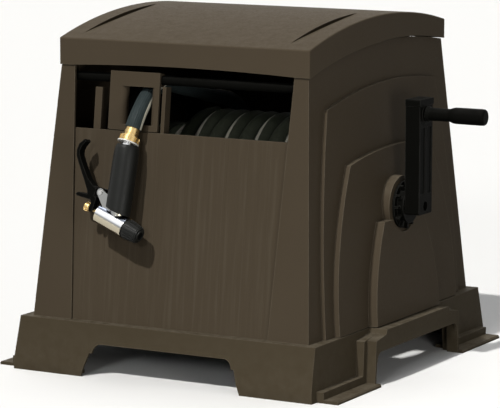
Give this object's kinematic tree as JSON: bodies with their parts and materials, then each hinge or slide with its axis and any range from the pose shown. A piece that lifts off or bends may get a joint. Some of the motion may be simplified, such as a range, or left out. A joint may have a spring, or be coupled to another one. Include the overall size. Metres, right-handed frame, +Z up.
{
  "type": "garden hose reel cabinet",
  "caption": "Tapered resin cabinet on splayed feet that stores a garden hose on a crank-turned reel, with a hinged lid, sliding hose guide and spray nozzle.",
  "frame": {"origin": "on the floor, under the middle of the box round the cabinet and its crank", "axes": "+Z up, -Y out of the front with the window, +X to the crank side"},
  "size_m": [0.6816, 0.5945, 0.538],
  "materials": {
    "resin": "dark brown moulded resin, fine grain",
    "black_plastic": "black moulded plastic, satin",
    "hose": "dark green hose with a pale stripe",
    "rubber": "black soft rubber",
    "brass": "machined brass",
    "chrome": "polished",
    "zinc": "zinc plated",
    "white_plastic": "off-white washer"
  },
  "bodies": {
    "cabinet": {"base_frame": "resin", "right_side_panel": "resin", "left_side_panel": "resin", "front_panel": "resin", "back_panel": "resin", "panel_screws": "zinc", "upper_guide_rail": "black_plastic", "lower_guide_rail": "black_plastic", "right_bushing": "black_plastic", "left_bushing": "black_plastic", "inlet_fitting": "brass", "inlet_o_ring": "rubber", "inlet_cap": "black_plastic", "cap_screws": "zinc", "hinge_pins": "zinc"},
    "lid": {"lid": "resin"},
    "reel": {"reel_drum": "black_plastic", "left_reel_flange": "black_plastic", "right_reel_flange": "black_plastic", "flange_screws": "zinc", "outlet_elbow": "black_plastic", "hose_core": "hose", "hose_inner_layer": "hose", "hose_outer_layer": "hose", "crank_hub": "black_plastic", "crank_arm": "black_plastic", "crank_screw": "zinc", "grip_pin": "zinc"},
    "grip": {"crank_grip": "black_plastic"},
    "guide": {"guide_carriage": "resin", "hose_lead": "hose", "coupling_ferrule": "brass", "coupling_nut": "brass", "coupling_washer": "white_plastic", "nozzle_body": "chrome", "nozzle_grip": "rubber", "nozzle_tip": "rubber", "trigger_pin": "zinc"},
    "trigger": {"nozzle_trigger": "black_plastic"},
    "valve": {"valve_stem": "brass"},
    "knob": {"flow_knob": "brass"}
  },
  "joints": [
    {"name": "lid_hinge", "type": "hinge", "parent": "cabinet", "child": "lid", "pos_m": [-0.04925, 0.236, 0.485], "axis": [-1, 0, 0], "range_deg": [0, 100]},
    {"name": "reel_spin", "type": "hinge", "parent": "cabinet", "child": "reel", "pos_m": [-0.04925, 0, 0.252], "axis": [1, 0, 0], "continuous": true},
    {"name": "grip_spin", "type": "hinge", "parent": "reel", "child": "grip", "pos_m": [0.24375, 0, 0.392], "axis": [1, 0, 0], "continuous": true},
    {"name": "guide_slide", "type": "slide", "parent": "cabinet", "child": "guide", "axis": [1, 0, 0], "range_m": [-0.025, 0.2]},
    {"name": "trigger_pull", "type": "hinge", "parent": "guide", "child": "trigger", "pos_m": [-0.15838, -0.2732, 0.27815], "axis": [-0.0121, 0.9848, -0.1732], "range_deg": [0, 15], "stiffness_Nm_per_rad": 1, "springref_deg": -8.59},
    {"name": "valve_slide", "type": "slide", "parent": "guide", "child": "valve", "axis": [-0.9314, 0.0519, 0.3603], "range_m": [0, 0.0079]},
    {"name": "knob_spin", "type": "hinge", "parent": "valve", "child": "knob", "pos_m": [-0.13751, -0.27997, 0.23819], "axis": [0.9314, -0.0519, -0.3603], "continuous": true}
  ],
  "couplings": [
    {"joint": "valve_slide", "follows": "trigger_pull", "m_per_rad": 0.03}
  ]
}
